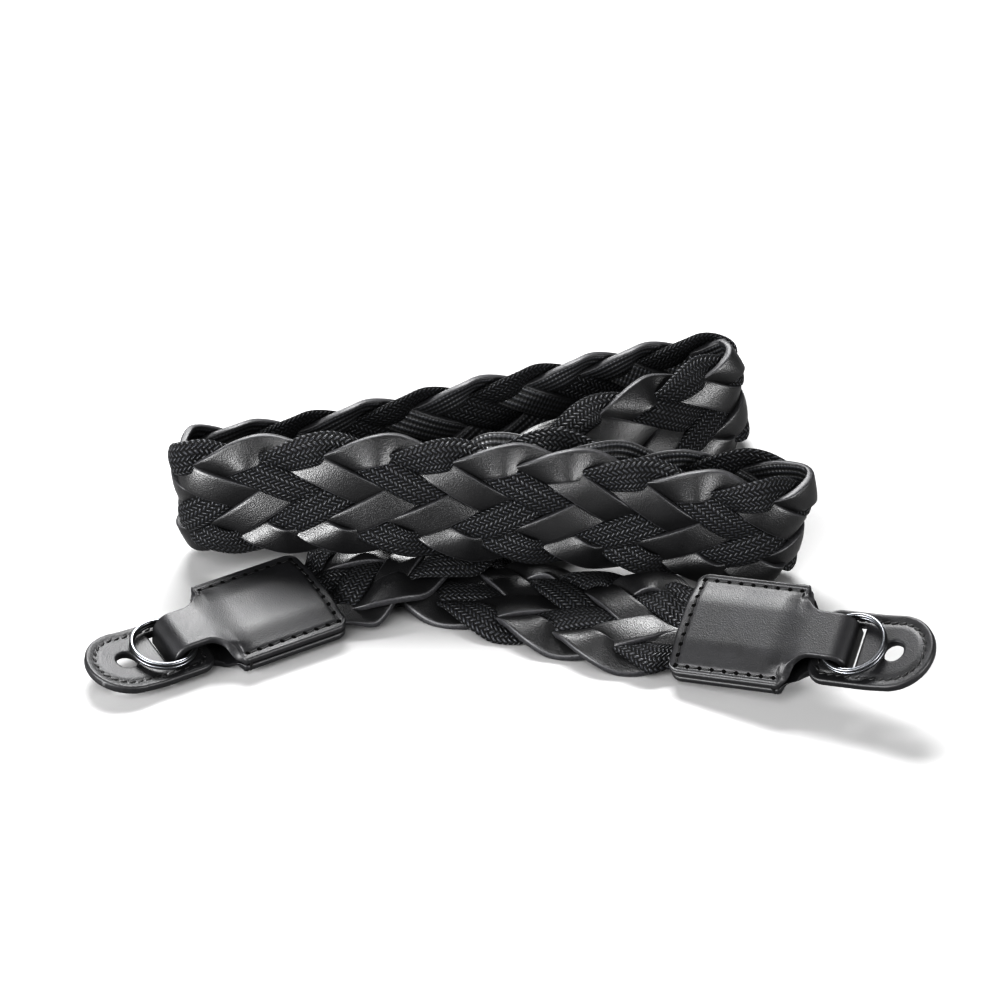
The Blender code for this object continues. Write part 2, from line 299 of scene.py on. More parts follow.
def feed(tree, shader, outputs):
    """Links each output into the shader's socket that it is listed under."""
    for socket, output in outputs.items():
        tree.links.new(output, shader.inputs[socket])


def smooth_leather(name, dark, light, specular, roughness, grain_mm, depth_mm):
    """Full-grain cowhide, dyed through and waxed: pebbled pores, a satin sheen, slightly uneven dye."""
    material, tree, shader = new_material(name, Specular_IOR_Level=specular)
    where = add(tree, "ShaderNodeTexCoord")["Object"]
    cells = add(tree, "ShaderNodeTexVoronoi", {"Vector": where, "Scale": 1 / (grain_mm * MM)}, feature="F1")
    pores = cells["Distance"]
    hide = add(tree, "ShaderNodeTexNoise", {"Vector": where, "Scale": 1 / (1.4 * grain_mm * MM),
                                            "Detail": 6.0, "Roughness": 0.62})["Fac"]
    dye = add(tree, "ShaderNodeTexNoise", {"Vector": where, "Scale": 1 / (7 * MM), "Detail": 3.0})["Fac"]
    tone = add(tree, "ShaderNodeValToRGB", {"Fac": dye}, stops=((0.3, dark), (0.7, light)))["Color"]
    gloss = add(tree, "ShaderNodeMath", {0: hide, 1: dye}, operation="ADD")[0]
    gloss = add(tree, "ShaderNodeMapRange", {"Value": gloss, "From Min": 0.6, "From Max": 1.4,
                                             "To Min": roughness[0], "To Max": roughness[1]})["Result"]
    relief = add(tree, "ShaderNodeMath", {0: pores, 1: hide}, operation="ADD")[0]
    bump = add(tree, "ShaderNodeBump", {"Height": relief, "Distance": depth_mm * MM})["Normal"]
    feed(tree, shader, {"Base Color": tone, "Roughness": gloss, "Normal": bump})
    return material


def braided_polyester():
    """Filament yarn braided flat, two over and two under: floats catch the light, and the base colour is
    painted near black in the gaps between them as painted shade and paler on the float tops as painted
    highlight.
    """
    material, tree, shader = new_material("braided_polyester", Specular_IOR_Level=0.22)
    uv = add(tree, "ShaderNodeUVMap", uv_map="UVMap")["UV"]
    split = add(tree, "ShaderNodeSeparateXYZ", {"Vector": uv})
    along = add(tree, "ShaderNodeMath", {0: split["X"], 1: 1 / yarn_repeat_mm}, operation="MULTIPLY")[0]
    around = add(tree, "ShaderNodeMath", {0: split["Y"], 1: float(yarns_round)}, operation="MULTIPLY")[0]
    p = add(tree, "ShaderNodeMath", {0: along, 1: around}, operation="ADD")[0]
    q = add(tree, "ShaderNodeMath", {0: along, 1: around}, operation="SUBTRACT")[0]
    part_p = add(tree, "ShaderNodeMath", {0: p}, operation="FRACT")[0]
    part_q = add(tree, "ShaderNodeMath", {0: q}, operation="FRACT")[0]
    whole_p = add(tree, "ShaderNodeMath", {0: p}, operation="FLOOR")[0]
    whole_q = add(tree, "ShaderNodeMath", {0: q}, operation="FLOOR")[0]
    kind = add(tree, "ShaderNodeMath", {0: whole_p, 1: whole_q}, operation="SUBTRACT")[0]
    kind = add(tree, "ShaderNodeMath", {0: kind, 1: 4.0}, operation="FLOORED_MODULO")[0]
    second = add(tree, "ShaderNodeMath", {0: kind, 1: 1.5}, operation="GREATER_THAN")[0]
    # Place across the yarn, and place along its float, for whichever of the two yarns lies on top
    across = add(tree, "ShaderNodeMix", {"Factor": second, "A": part_q, "B": part_p})["Result"]
    run = add(tree, "ShaderNodeMath", {0: kind, 1: part_p}, operation="ADD")[0]
    other = add(tree, "ShaderNodeMath", {0: part_q, 1: kind}, operation="SUBTRACT")[0]
    other = add(tree, "ShaderNodeMath", {0: other, 1: 3.0}, operation="ADD")[0]
    run = add(tree, "ShaderNodeMix", {"Factor": second, "A": run, "B": other})["Result"]
    hump = add(tree, "ShaderNodeMath", {0: across, 1: math.pi}, operation="MULTIPLY")[0]
    hump = add(tree, "ShaderNodeMath", {0: hump}, operation="SINE")[0]
    rise = add(tree, "ShaderNodeMath", {0: run, 1: math.pi / 2}, operation="MULTIPLY")[0]
    rise = add(tree, "ShaderNodeMath", {0: rise}, operation="SINE")[0]
    rise = add(tree, "ShaderNodeMath", {0: rise, 1: 0.6}, operation="POWER")[0]
    height = add(tree, "ShaderNodeMath", {0: hump, 1: rise}, operation="MULTIPLY")[0]
    where = add(tree, "ShaderNodeTexCoord")["Object"]
    fibre = add(tree, "ShaderNodeTexNoise", {"Vector": where, "Scale": 1 / (0.2 * MM), "Detail": 3.0})["Fac"]
    fuzz = add(tree, "ShaderNodeMath", {0: fibre, 1: 0.25}, operation="MULTIPLY")[0]
    relief = add(tree, "ShaderNodeMath", {0: height, 1: fuzz}, operation="ADD")[0]
    bump = add(tree, "ShaderNodeBump", {"Height": relief, "Strength": 1.0, "Distance": 0.34 * MM})["Normal"]
    # Base colour from the yarn height: painted shade in the gaps, painted highlight on the float tops
    stops = ((0.3, "#010101"), (0.85, "#1e1f22"))
    tone = add(tree, "ShaderNodeValToRGB", {"Fac": height}, stops)["Color"]
    gloss = add(tree, "ShaderNodeMapRange", {"Value": height, "From Min": 0.25, "From Max": 0.7,
                                             "To Min": 0.9, "To Max": 0.36})["Result"]
    feed(tree, shader, {"Base Color": tone, "Roughness": gloss, "Normal": bump})
    return material


def ribbed_lining():
    """Woven tape glued behind each leather strip: fine ribs along it, broken into stitches."""
    material, tree, shader = new_material("ribbed_tape_lining", Specular_IOR_Level=0.5)
    uv = add(tree, "ShaderNodeUVMap", uv_map="UVMap")["UV"]
    split = add(tree, "ShaderNodeSeparateXYZ", {"Vector": uv})
    rib = add(tree, "ShaderNodeMath", {0: split["Y"], 1: 2 * math.pi / 0.85}, operation="MULTIPLY")[0]
    dot = add(tree, "ShaderNodeMath", {0: split["X"], 1: 2 * math.pi / 0.95}, operation="MULTIPLY")[0]
    rib = add(tree, "ShaderNodeMath", {0: rib}, operation="SINE")[0]
    dot = add(tree, "ShaderNodeMath", {0: dot}, operation="SINE")[0]
    dot = add(tree, "ShaderNodeMath", {0: dot, 1: 0.5}, operation="MULTIPLY")[0]
    both = add(tree, "ShaderNodeMath", {0: rib, 1: dot}, operation="ADD")[0]
    level = add(tree, "ShaderNodeMapRange", {"Value": both, "From Min": -1.4, "From Max": 1.4})["Result"]
    # Base colour from the rib relief: painted shade in the grooves, painted highlight on the rib tops
    stops = ((0.3, "#020202"), (0.85, "#2a2b2e"))
    tone = add(tree, "ShaderNodeValToRGB", {"Fac": level}, stops)["Color"]
    gloss = add(tree, "ShaderNodeMapRange", {"Value": level, "To Min": 0.8, "To Max": 0.35})["Result"]
    bump = add(tree, "ShaderNodeBump", {"Height": level, "Strength": 1.0, "Distance": 0.3 * MM})["Normal"]
    feed(tree, shader, {"Base Color": tone, "Roughness": gloss, "Normal": bump})
    return material


def cut_edge(name, dark, light):
    """Cut leather edges, dyed and rubbed smooth: a shade paler than the grain side, with fine layers; on the
    strips the extra paleness is also a painted highlight for the light their edges catch.
    """
    material, tree, shader = new_material(name, Specular_IOR_Level=0.35)
    where = add(tree, "ShaderNodeTexCoord")["Object"]
    layers = add(tree, "ShaderNodeTexNoise", {"Vector": where, "Scale": 1 / (0.4 * MM), "Detail": 4.0})["Fac"]
    tone = add(tree, "ShaderNodeValToRGB", {"Fac": layers}, stops=((0.3, dark), (0.7, light)))["Color"]
    gloss = add(tree, "ShaderNodeMapRange", {"Value": layers, "To Min": 0.42, "To Max": 0.6})["Result"]
    bump = add(tree, "ShaderNodeBump", {"Height": layers, "Strength": 0.6, "Distance": 0.08 * MM})["Normal"]
    feed(tree, shader, {"Base Color": tone, "Roughness": gloss, "Normal": bump})
    return material


def brushed_steel():
    """Stainless spring wire, ground and brushed: fine scratches, bright with soft edges."""
    material, tree, shader = new_material("brushed_stainless_steel", Metallic=1.0)
    where = add(tree, "ShaderNodeTexCoord")["Object"]
    fine = {"Vector": where, "Scale": 1 / (0.18 * MM), "Detail": 4.0}
    scratch = add(tree, "ShaderNodeTexNoise", fine)["Fac"]
    stops = ((0.3, "#3c3d3f"), (0.7, "#5c5d5f"))
    tone = add(tree, "ShaderNodeValToRGB", {"Fac": scratch}, stops)["Color"]
    gloss = add(tree, "ShaderNodeMapRange", {"Value": scratch, "To Min": 0.28, "To Max": 0.48})["Result"]
    bump = add(tree, "ShaderNodeBump", {"Height": scratch, "Strength": 0.4, "Distance": 0.03 * MM})["Normal"]
    feed(tree, shader, {"Base Color": tone, "Roughness": gloss, "Normal": bump})
    return material


def waxed_thread():
    """Twisted polyester sewing thread, waxed black: dull, with a faint glint on top of each float."""
    material, tree, shader = new_material("waxed_thread", Specular_IOR_Level=0.3)
    where = add(tree, "ShaderNodeTexCoord")["Object"]
    twist = add(tree, "ShaderNodeTexNoise", {"Vector": where, "Scale": 1 / (0.14 * MM), "Detail": 2.0})["Fac"]
    stops = ((0.3, "#020202"), (0.7, "#0a0a0b"))
    tone = add(tree, "ShaderNodeValToRGB", {"Fac": twist}, stops)["Color"]
    gloss = add(tree, "ShaderNodeMapRange", {"Value": twist, "To Min": 0.45, "To Max": 0.7})["Result"]
    bump = add(tree, "ShaderNodeBump", {"Height": twist, "Strength": 0.6, "Distance": 0.06 * MM})["Normal"]
    feed(tree, shader, {"Base Color": tone, "Roughness": gloss, "Normal": bump})
    return material


def painted_hole_shade():
    """The awl's hole, filled with thread that has sunk into it: coloured near black with almost no shine as
    the hole's painted shade, so it reads black.
    """
    material, tree, shader = new_material("hole_thread_and_painted_shade", Specular_IOR_Level=0.05)
    where = add(tree, "ShaderNodeTexCoord")["Object"]
    lint = add(tree, "ShaderNodeTexNoise", {"Vector": where, "Scale": 1 / (0.3 * MM), "Detail": 2.0})["Fac"]
    stops = ((0.3, "#010101"), (0.7, "#050505"))
    tone = add(tree, "ShaderNodeValToRGB", {"Fac": lint}, stops)["Color"]
    gloss = add(tree, "ShaderNodeMapRange", {"Value": lint, "To Min": 0.8, "To Max": 1.0})["Result"]
    feed(tree, shader, {"Base Color": tone, "Roughness": gloss})
    return material


# One repeat of the yarns' pattern along the strand, and how many repeats go round it
yarn_repeat_mm = 1.15
yarns_round = 14

strip_leather = smooth_leather("waxed_strip_leather", "#070708", "#0c0c0d", 0.42, (0.36, 0.46), 0.28, 0.045)
tab_leather = smooth_leather("matt_tab_leather", "#0b0b0c", "#131315", 0.34, (0.44, 0.54), 0.28, 0.030)
webbing = braided_polyester()
lining = ribbed_lining()
painted_edge = cut_edge("burnished_tab_edge", "#070708", "#161618")
# Strip edges: paler partly as a raw cut edge, partly as a painted highlight for the light the edges catch
pale_strip_edge_and_highlight = cut_edge("trimmed_strip_edge_painted_highlight", "#151516", "#29292b")
steel = brushed_steel()
thread = waxed_thread()
hole_thread_and_shade = painted_hole_shade()

# Surfaces from grids


def new_piece(name, mesh, materials):
    """An object at the scene's origin with the mesh and its materials."""
    for material in materials:
        mesh.materials.append(material)
    piece = bpy.data.objects.new(name, mesh)
    bpy.context.scene.collection.objects.link(piece)
    return piece


def mesh_from(bm, name):
    mesh = bpy.data.meshes.new(name)
    bm.to_mesh(mesh)
    bm.free()
    return mesh


def shaped_grid(name, count_along, count_around, shape, materials, pick=None, size=(1.0, 1.0)):
    """A closed skin from a flat grid: shape() moves each point by its two shares, then seams are merged.

    pick() gives each face's material from its shares, size stretches the grid's UV map.
    """
    bm = bmesh.new()
    bm.loops.layers.uv.new("UVMap")
    bmesh.ops.create_grid(bm, x_segments=count_along, y_segments=count_around, size=0.5, calc_uvs=True)
    mesh = mesh_from(bm, name)
    flat = np.empty(len(mesh.vertices) * 3)
    mesh.vertices.foreach_get("co", flat)
    along, around = np.clip(flat.reshape(-1, 3)[:, :2].T + 0.5, 0, 1)
    corners = np.empty(len(mesh.loops), dtype=np.int64)
    mesh.loops.foreach_get("vertex_index", corners)
    corners = corners.reshape(-1, 4)
    mesh.vertices.foreach_set("co", shape(along, around).reshape(-1))
    if pick is not None:
        chosen = pick(along[corners].mean(1), around[corners].mean(1))
        mesh.polygons.foreach_set("material_index", chosen.astype(np.int32))
    uv = np.empty(len(mesh.loops) * 2)
    mesh.uv_layers[0].data.foreach_get("uv", uv)
    mesh.uv_layers[0].data.foreach_set("uv", (uv.reshape(-1, 2) * np.array(size)).reshape(-1))
    bm = bmesh.new()
    bm.from_mesh(mesh)
    bmesh.ops.remove_doubles(bm, verts=bm.verts, dist=2e-6)
    rims = [edge for edge in bm.edges if edge.is_boundary]
    if rims:
        bmesh.ops.holes_fill(bm, edges=rims, sides=0)
    bmesh.ops.recalc_face_normals(bm, faces=bm.faces)
    bm.to_mesh(mesh)
    bm.free()
    mesh.polygons.foreach_set("use_smooth", np.ones(len(mesh.polygons), dtype=bool))
    return new_piece(name, mesh, materials)


def smooth(value):
    value = np.clip(value, 0, 1)
    return value * value * (3 - 2 * value)


# The seven-strand plait

strand_pitch = 0.01405
first_turn = 0.3608
plait_turns = 7
path_amplitude = 0.0108
path_sharpness = 0.93
crossing_height = 0.00130
rest_depth = 0.0006
strip_width = 0.0066
strip_thickness = 0.0018
webbing_width = 0.0070
webbing_thickness = 0.0022
turn_roll = 0.30
edge_round = 0.0009
strand_inset = 0.0008
strand_start = -band_insert + strand_inset
strand_end = route.length + band_insert - strand_inset

# Where the soft plait settles sideways against its neighbours, by distance along the band
SETTLES = (
    # start, end, run, shift
    (0.315, 0.405, 0.030, -0.0012),
    (0.545, 0.616, 0.022, 0.0014),
)

# Rows along a strand and points round it, and a strand's own length for each length of band
strip_steps = 900
webbing_steps = 1500
webbing_around = 28
strand_slack = 1.115

# A strip's length and girth on its UV map
strip_run_mm = 730.0
strip_girth_mm = 16.0


def strand_line(distance, number):
    """Offset from the band's middle of a strand's centre line, and its slope."""
    turn = 2 * math.pi / plait_turns * ((distance - first_turn) / strand_pitch - number)
    reach = math.asin(path_sharpness)
    offset = path_amplitude * np.arcsin(path_sharpness * np.cos(turn)) / reach
    bend = np.sqrt(1 - (path_sharpness * np.cos(turn)) ** 2)
    slope = -path_amplitude * path_sharpness * np.sin(turn) / bend / reach
    slope = slope * 2 * math.pi / plait_turns / strand_pitch
    return offset, slope


def over_under(turns):
    """+1 where a strand lies over the others, -1 where it lies under, with quick dives between."""
    half = plait_turns / 2
    place_in = np.mod(turns, half)
    level = np.zeros_like(place_in)
    for start, end, sign in ((0, 0.75, -1), (0.75, 1.75, 1), (1.75, 2.75, -1), (2.75, half, 1)):
        inside = (place_in >= start) & (place_in <= end)
        level = np.where(inside, sign * np.sin(math.pi * (place_in - start) / (end - start)), level)
    return np.tanh(0.95 * level) / math.tanh(0.95)


def strand_height(distance, offset, centre_distance, number):
    """Height of a point of a strand above the band's middle, stepping along the strands that it crosses."""
    turns = (centre_distance - first_turn) / strand_pitch - number
    whole = np.floor(turns / plait_turns) * plait_turns
    along_turns = turns - whole
    own = (distance - first_turn) / strand_pitch - number - whole
    sine = np.sin(math.asin(path_sharpness) * np.clip(offset / path_amplitude, -1, 1)) / path_sharpness
    down = plait_turns / (2 * math.pi) * np.arccos(np.clip(sine, -1, 1))
    crossing = np.where(along_turns < plait_turns / 2, (own + down) / 2, (own + plait_turns - down) / 2)
    to_turn = np.abs(np.mod(along_turns + plait_turns / 4, plait_turns / 2) - plait_turns / 4)
    near = smooth(1 - to_turn / 0.6)
    return over_under(crossing * (1 - near) + along_turns * near), smooth(1 - to_turn / 0.75)


def settled(distance, offset):
    """The offset with the plait's sideways shifts added, each eased in and out over its run."""
    for start, end, run, shift in SETTLES:
        offset = offset + shift * smooth((distance - start) / run) * smooth((end - distance) / run)
    return offset


def pressed(height):
    """Keeps the plait off the floor: what would sink in lies flattened just above it."""
    return np.where(height < rest_depth, rest_depth * np.exp(np.minimum(height / rest_depth - 1, 0)), height)


def on_band(distance, offset, height):
    """Places points given along, across and above the band, drawn together inside the tabs."""
    depth = np.maximum(-distance, distance - route.length)
    squeeze = 1 - (1 - end_compression) * smooth(1 + (depth + fit_gap) / end_taper)
    squeeze = squeeze * (1 - 0.4 * smooth((depth - 0.0015) / 0.004))
    narrow = 1 - (1 - end_narrowing) * smooth(1 + depth / end_taper)
    centre, along, across, outward = route.frames(distance)
    offset = settled(distance, offset)
    points = centre + across * (offset * narrow)[:, None] + outward * (height * squeeze)[:, None]
    points = points + np.array(place)
    points[:, 2] = pressed(points[:, 2])
    return points


def strand_points(share, side, lift, number):
    """Points of a strand from its share of length, sideways place and lift in metres."""
    distance = strand_start + (strand_end - strand_start) * share
    line, slope = strand_line(distance, number)
    stretch = np.sqrt(1 + slope**2)
    here = distance - side * slope / stretch
    offset = line + side / stretch
    level, near_turn = strand_height(here, offset, distance, number)
    outer = np.sign(line) * side
    height = crossing_height * level + lift - turn_roll * near_turn * outer
    beyond = np.maximum(np.abs(offset) - band_width * 0.33, 0) / (band_width * 0.17)
    height = height - edge_round * 0.5 * beyond**2
    return on_band(here, offset, height)


def rounded_section(width, thickness, power, count):
    """Evenly spaced points round a flattened oval, counter-clockwise from its right edge."""
    fine = np.linspace(0, 2 * math.pi, 2000)
    x = np.sign(np.cos(fine)) * np.abs(np.cos(fine)) ** (2 / power) * width / 2
    y = np.sign(np.sin(fine)) * np.abs(np.sin(fine)) ** (2 / power) * thickness / 2
    run = np.concatenate([[0], np.cumsum(np.hypot(np.diff(x), np.diff(y)))])
    even = np.linspace(0, run[-1], count + 1)
    return np.interp(even, run, x), np.interp(even, run, y)


# Sideways place as a share of half the strip's width, and lift as a share of half its thickness:
# grain side, edge, lining side, edge, back to the start
STRIP_SECTION = (
    (-0.90, 0.98), (-0.72, 1.00), (-0.40, 1.03), (0.00, 1.05), (0.40, 1.03), (0.72, 1.00), (0.90, 0.98),
    (0.965, 0.86), (0.995, 0.55), (1.00, 0.00), (0.99, -0.60), (0.95, -0.90),
    (0.85, -1.00), (0.50, -1.00), (0.17, -1.00), (-0.17, -1.00), (-0.50, -1.00), (-0.85, -1.00),
    (-0.95, -0.90), (-0.99, -0.60), (-1.00, 0.00), (-0.995, 0.55), (-0.965, 0.86), (-0.90, 0.98),
)
strip_around = len(STRIP_SECTION) - 1


def leather_strand(number):
    sides = np.array([row[0] for row in STRIP_SECTION]) * strip_width / 2
    lifts = np.array([row[1] for row in STRIP_SECTION]) * strip_thickness / 2

    def shape(along, around):
        index = np.rint(around * strip_around).astype(int)
        return strand_points(along, sides[index], lifts[index], number)

    def pick(along, around):
        index = np.floor(around * strip_around)
        return np.where(index < 6, 0, np.where((index >= 12) & (index < 17), 2, 1))

    piece = shaped_grid(f"leather_strand_{number // 2 + 1}", strip_steps, strip_around, shape,
                        [strip_leather, pale_strip_edge_and_highlight, lining], pick, size=(strip_run_mm, strip_girth_mm))
    return piece


def textile_strand(number):
    x, y = rounded_section(webbing_width, webbing_thickness, 2.3, webbing_around)
    length_mm = (strand_end - strand_start) * strand_slack / MM

    def shape(along, around):
        index = np.rint(around * webbing_around).astype(int) % webbing_around
        return strand_points(along, x[index], y[index], number)

    piece = shaped_grid(f"textile_strand_{(number + 1) // 2}", webbing_steps, webbing_around, shape,
                        [webbing], size=(length_mm, 1.0))
    return piece


for number in (0, 2, 4, 6):
    strand = leather_strand(number)
    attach(strand, "root")
    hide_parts("braided_band")
for number in (1, 3, 5):
    strand = textile_strand(number)
    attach(strand, "root")
    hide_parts("braided_band")

# End tabs

stitch_inset = 0.0019
tab_stitch_pitch = 0.0027
stitch_dent = 0.00024


def tab_half_width(reach):
    """Half the tab's width at a distance out from its mouth: rounded corners, notch and neck."""
    drop = np.clip(tab_corner - reach, 0, tab_corner)
    rounded = tab_width / 2 - tab_corner + np.sqrt(np.maximum(tab_corner**2 - drop**2, 0))
    share = np.clip((reach - tab_length) / (neck_start - tab_length), 0, 1)
    necked = neck_width / 2 + (tab_width - neck_width) / 2 * (1 - share) ** 2.3
    return np.where(reach <= tab_length, rounded, necked)


upper_level = neck_gap / 2 + leather_wall / 2


def tab_seam_distance(reach, sideways):
    """Distance from the tab's three-sided line of stitches."""
    line = tab_width / 2 - stitch_inset
    long_side = np.hypot(np.abs(np.abs(sideways) - line), np.maximum(reach - tab_length + 0.0008, 0))
    corner = np.hypot(np.abs(sideways) - line, reach - stitch_inset)
    long_side = np.where(reach < stitch_inset, corner, long_side)
    short_side = np.hypot(reach - stitch_inset, np.maximum(np.abs(sideways) - line, 0))
    return np.minimum(long_side, short_side)


def tab_layer(reach, sideways):
    """Height of a leather layer's middle above the seam: domed over the band, raised over the ring."""
    seam = (layer_gap + leather_wall) / 2
    pocket = band_thickness * end_compression / 2 + fit_gap + leather_wall / 2
    share = np.abs(sideways) / tab_half_width(reach)
    level = seam + (pocket - seam) * smooth((dome_edge - share) / dome_spread)
    neck = smooth((reach - tab_length + neck_ramp) / (2 * neck_ramp))
    middle = smooth((tab_width / 2 - neck_margin - np.abs(sideways)) / neck_spread)
    return level + (upper_level - level) * neck * middle


wall_middle = ring_centre - leather_wall / 2


def fold_path():
    """The folded strip's middle line: reach, upper or lower layer, and height where the fold sets it."""
    top_bend, under_bend = neck_bends
    mouth = 0.0006 * (1 - np.cos(np.linspace(0, math.pi / 2, 7)))
    rows = [(reach, 1, None) for reach in mouth]
    rows += [(reach, 1, None) for reach in np.linspace(0.0009, wall_middle - top_bend, 84)]
    for bend in np.radians(np.linspace(7.5, 90, 12)):
        rows.append((wall_middle - top_bend * (1 - math.sin(bend)), 1,
                     upper_level - top_bend * (1 - math.cos(bend))))
    for height in np.linspace(upper_level - top_bend, under_bend - upper_level, 8)[1:-1]:
        rows.append((wall_middle, 1, height))
    for bend in np.radians(np.linspace(90, 15, 6)):
        rows.append((wall_middle - under_bend * (1 - math.sin(bend)), 1,
                     under_bend * (1 - math.cos(bend)) - upper_level))
    rows += [(reach, -1, None) for reach in np.linspace(wall_middle - under_bend, 0.0009, 84)]
    rows += [(reach, -1, None) for reach in mouth[::-1]]
    return rows


FOLD = fold_path()
fold_reach = np.array([row[0] for row in FOLD])
fold_layer = np.array([row[1] for row in FOLD], dtype=float)
fold_set = np.array([row[2] is not None for row in FOLD])
fold_height = np.array([row[2] if row[2] is not None else 0.0 for row in FOLD])


def place_end(side, points):
    matrix = np.array(Matrix.Translation(place) @ end_frame(side))
    return points @ matrix[:3, :3].T + matrix[:3, 3]


def tab_middles(shares):
    """Middle surface of the folded leather: one row of points for each step of the fold."""
    reach = fold_reach[:, None] + 0 * shares[None, :]
    sideways = tab_half_width(fold_reach)[:, None] * shares[None, :]
    free = fold_layer[:, None] * tab_layer(reach, sideways)
    height = np.where(fold_set[:, None], fold_height[:, None], free)
    return np.stack([reach, sideways, height], axis=-1)


def end_tab(side):
    across_count = 96
    shares = -np.cos(np.linspace(0, math.pi, across_count + 1))
    middles = tab_middles(shares)
    along = np.gradient(middles, axis=0)
    normals = unit(np.stack([-along[..., 2], 0 * along[..., 2], along[..., 0]], axis=-1))
    half = tab_half_width(fold_reach)[:, None]
    from_edge = half * (1 - np.abs(shares))[None, :]
    rim = np.clip(1 - from_edge / 0.0007, 0, 1)
    mouth = np.clip(1 - fold_reach / 0.0006, 0, 1)[:, None]
    keep = (1 - rim**2.6) ** (1 / 2.6) * (1 - mouth**2.6) ** (1 / 2.6)
    seam = tab_seam_distance(middles[..., 0], middles[..., 1])
    flat = (~fold_set)[:, None] & (middles[..., 0] < tab_length + 0.001)
    dent = np.where(flat, stitch_dent * np.exp(-(seam / 0.00045) ** 2), 0)
    crease = np.where(flat, 0.00010 * np.exp(-((from_edge - 0.0010) / 0.00022) ** 2), 0)
    outer = middles + normals * (leather_wall / 2 * keep - (dent + crease) * keep)[..., None]
    inner = middles - normals * (leather_wall / 2 * keep)[..., None]
    rows = len(FOLD) - 1

    def shape(along_share, around):
        i = np.rint(along_share * rows).astype(int)
        k = np.rint(around * 2 * across_count).astype(int)
        points = np.where((k <= across_count)[:, None], outer[i, np.minimum(k, across_count)],
                          inner[i, np.clip(2 * across_count - k, 0, across_count)])
        return place_end(side, points)

    def pick(along_share, around):
        k = np.floor(around * 2 * across_count)
        j = np.where(k < across_count, k, 2 * across_count - 1 - k).astype(int)
        i = np.clip(np.floor(along_share * rows).astype(int), 0, rows)
        near = from_edge[i, np.clip(j, 0, across_count)] < 0.0004
        return np.where(near, 1, 0)

    name = side + "_tab_leather"
    piece = shaped_grid(name, rows, 2 * across_count, shape, [tab_leather, painted_edge], pick)
    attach(piece, "root")
    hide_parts(side + "_tab")
    return piece


def tab_top(reach, sideways, layer=1):
    """A point on the tab's outer face and the direction out of it, in the end's own frame."""
    step = 0.0002
    height = lambda r, s: float(tab_layer(np.array(r), np.array(s))) + leather_wall / 2
    here = Vector((reach, sideways, layer * height(reach, sideways)))
    ahead = Vector((reach + step, sideways, layer * height(reach + step, sideways))) - here
    beside = Vector((reach, sideways + step, layer * height(reach, sideways + step))) - here
    return here, (ahead.cross(beside) * layer).normalized()


# Stitches: length, width, thickness and how deep they sink, in metres
AWL_HOLE = (0.00150, 0.00100, 0.00050, 0.00006)
GUARD_STITCH = (0.00178, 0.00068, 0.0005, 0.00008)

# Floats and bars, whose length follows the seam: width, thickness and how deep they sink
SEAM_FLOAT = (0.0005, 0.00042, 0.00002)
NOTCH_BAR = (0.0008, 0.0004, 0.00016)


def add_stitch(bm, middle, along, up, length, width, thickness, sink, material=0):
    """One thread float, a coarse ball stretched along the seam and part sunk into the leather."""
    along = (along - along.dot(up) * up).normalized()
    turned = Matrix((along, up.cross(along), up)).transposed().to_4x4()
    scaled = Matrix.Diagonal((length / 2, width / 2, thickness / 2, 1))
    place_in = Matrix.Translation(middle - up * sink) @ turned @ scaled
    made = bmesh.ops.create_uvsphere(bm, u_segments=8, v_segments=5, radius=1, matrix=place_in)
    for face in {face for vert in made["verts"] for face in vert.link_faces}:
        face.material_index = material


def finish_stitches(bm, name, side):
    bmesh.ops.transform(bm, matrix=Matrix.Translation(place) @ end_frame(side), verts=bm.verts)
    for face in bm.faces:
        face.smooth = True
    piece = new_piece(name, mesh_from(bm, name), [thread, hole_thread_and_shade])
    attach(piece, "root")
    return piece


def tab_seam(bm, layer, start, end, count):
    """A run of stitches between two (reach, sideways) points: thin floats between sunken awl holes, each hole
    a near-black blob that paints its shade.
    """
    start, end = np.array(start), np.array(end)
    pitch = np.linalg.norm(end - start) / count
    heading_in = (end - start) / np.linalg.norm(end - start)
    turned_in = Vector((heading_in[0], heading_in[1], 0))
    for i in range(count + 1):
        here, up = tab_top(*(start + heading_in * pitch * i), layer)
        lean = Matrix.Rotation(math.radians(24) * layer, 3, up) @ turned_in.cross(up)
        # Awl hole: a near-black blob of thread that paints the hole's shade
        add_stitch(bm, here - up * stitch_dent * 0.75, lean, up, *AWL_HOLE, 1)
    for i in range(count):
        here, up = tab_top(*(start + heading_in * pitch * (i + 0.5)), layer)
        lean = Matrix.Rotation(math.radians(8) * layer, 3, up) @ turned_in
        add_stitch(bm, here - up * stitch_dent * 0.8, lean, up, pitch * 0.9, *SEAM_FLOAT)


def tab_stitches(side):
    bm = bmesh.new()
    line = tab_width / 2 - stitch_inset
    last = tab_length - 0.0012
    long_count = round((last - stitch_inset) / tab_stitch_pitch)
    for layer in (1, -1):
        tab_seam(bm, layer, (stitch_inset, -line), (last, -line), long_count)
        tab_seam(bm, layer, (last, line), (stitch_inset, line), long_count)
        tab_seam(bm, layer, (stitch_inset, line), (stitch_inset, -line), 9)
    for edge in (1, -1):
        middle = Vector((last, edge * tab_width / 2, 0))
        height = 2 * leather_wall + layer_gap
        add_stitch(bm, middle, Vector((0, 0, 1)), Vector((0, edge, 0)), height * 1.02, *NOTCH_BAR)
    return finish_stitches(bm, side + "_tab_stitches", side)


# Lug guards

guard_stitch_inset = 0.0021
guard_stitch_pitch = 0.0019
guard_rim_inset = 0.0011
guard_bevel = 0.00055
guard_grid = 0.0006

# The seam's and the rim's grooves: depth and half width
SEAM_GROOVE = (0.00036, 0.00055)
RIM_GROOVE = (0.00008, 0.0003)


